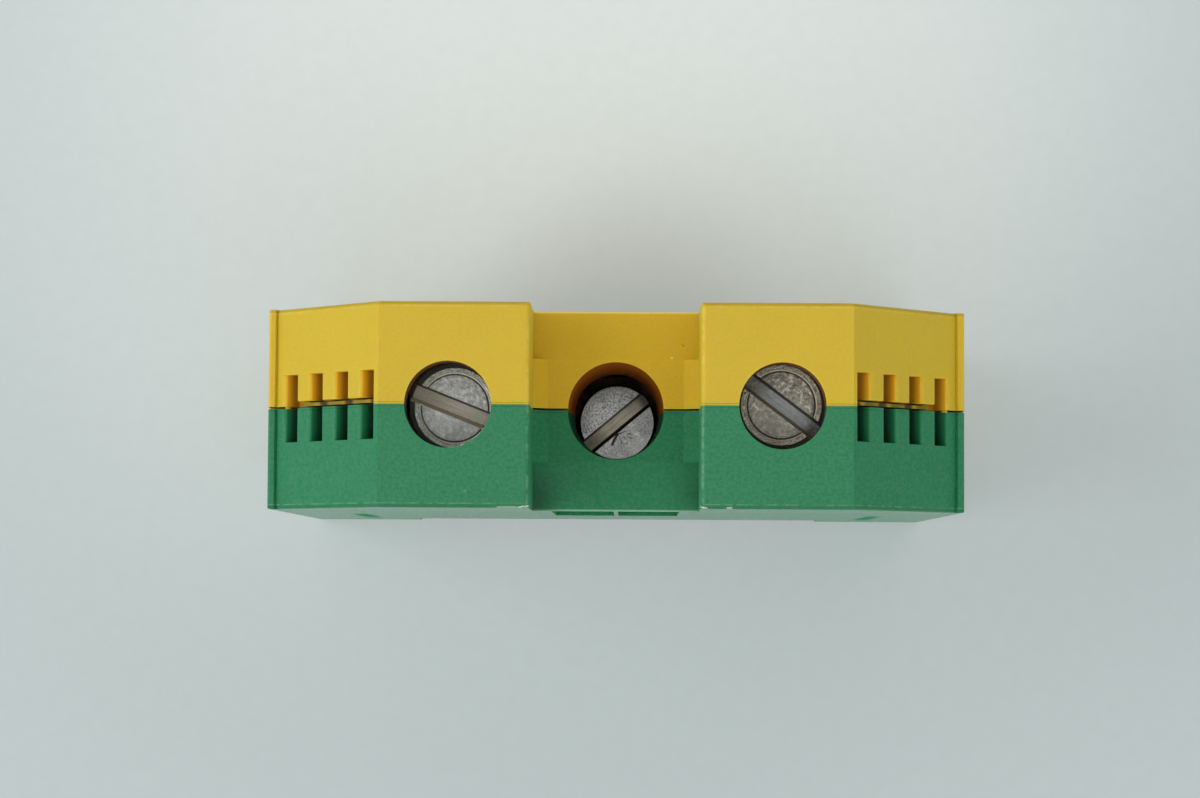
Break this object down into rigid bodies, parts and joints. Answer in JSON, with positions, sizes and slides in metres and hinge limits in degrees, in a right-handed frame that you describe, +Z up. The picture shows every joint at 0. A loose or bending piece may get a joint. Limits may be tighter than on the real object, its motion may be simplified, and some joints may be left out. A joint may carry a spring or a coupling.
{
  "type": "earth terminal block",
  "caption": "Rail-mounted protective earth terminal block in yellow and green moulded half shells, with rising screw clamps for the wires and a screwed rail clamp.",
  "frame": {"origin": "middle of the base, level with the feet of the housing's legs", "axes": "+X along the wires, +Y along the rail towards the yellow shell, +Z up"},
  "size_m": [0.0558, 0.016, 0.05],
  "materials": {
    "yellow_plastic": "fine moulded grain",
    "green_plastic": "fine moulded grain",
    "tinned_copper": "tarnished copper with worn tin plating",
    "plated_steel": "dull zinc plating",
    "screw_steel": "worn zinc plating with turning marks"
  },
  "bodies": {
    "housing": {"yellow_half_shell": "yellow_plastic", "green_half_shell": "green_plastic", "current_bar": "tinned_copper", "rail_foot": "plated_steel", "rail_lock_washer": "plated_steel"},
    "left_screw": {"left_clamp_screw": "screw_steel"},
    "left_yoke": {"left_clamp_yoke": "plated_steel"},
    "right_screw": {"right_clamp_screw": "screw_steel"},
    "right_yoke": {"right_clamp_yoke": "plated_steel"},
    "middle_screw": {"rail_screw": "screw_steel"},
    "claw": {"rail_claw": "plated_steel"}
  },
  "joints": [
    {"name": "left_screw_turn", "type": "hinge", "parent": "housing", "child": "left_screw", "pos_m": [-0.01255, -0.00015, 0.0441], "axis": [0, 0, -1], "range_deg": [0, 2520]},
    {"name": "left_yoke_rise", "type": "slide", "parent": "housing", "child": "left_yoke", "axis": [0, 0, 1], "range_m": [0, 0.007]},
    {"name": "right_screw_turn", "type": "hinge", "parent": "housing", "child": "right_screw", "pos_m": [0.01295, 0.0002, 0.0441], "axis": [0, 0, -1], "range_deg": [0, 2520]},
    {"name": "right_yoke_rise", "type": "slide", "parent": "housing", "child": "right_yoke", "axis": [0, 0, 1], "range_m": [0, 0.007]},
    {"name": "rail_screw_turn", "type": "hinge", "parent": "housing", "child": "middle_screw", "pos_m": [0, 0, 0.0176], "axis": [0, 0, -1], "range_deg": [0, 1080]},
    {"name": "claw_rise", "type": "slide", "parent": "housing", "child": "claw", "axis": [0, 0, 1], "range_m": [0, 0.0021]}
  ],
  "couplings": [
    {"joint": "left_screw_turn", "follows": "left_yoke_rise", "rad_per_m": 6283.2},
    {"joint": "right_screw_turn", "follows": "right_yoke_rise", "rad_per_m": 6283.2},
    {"joint": "rail_screw_turn", "follows": "claw_rise", "rad_per_m": 8976}
  ]
}
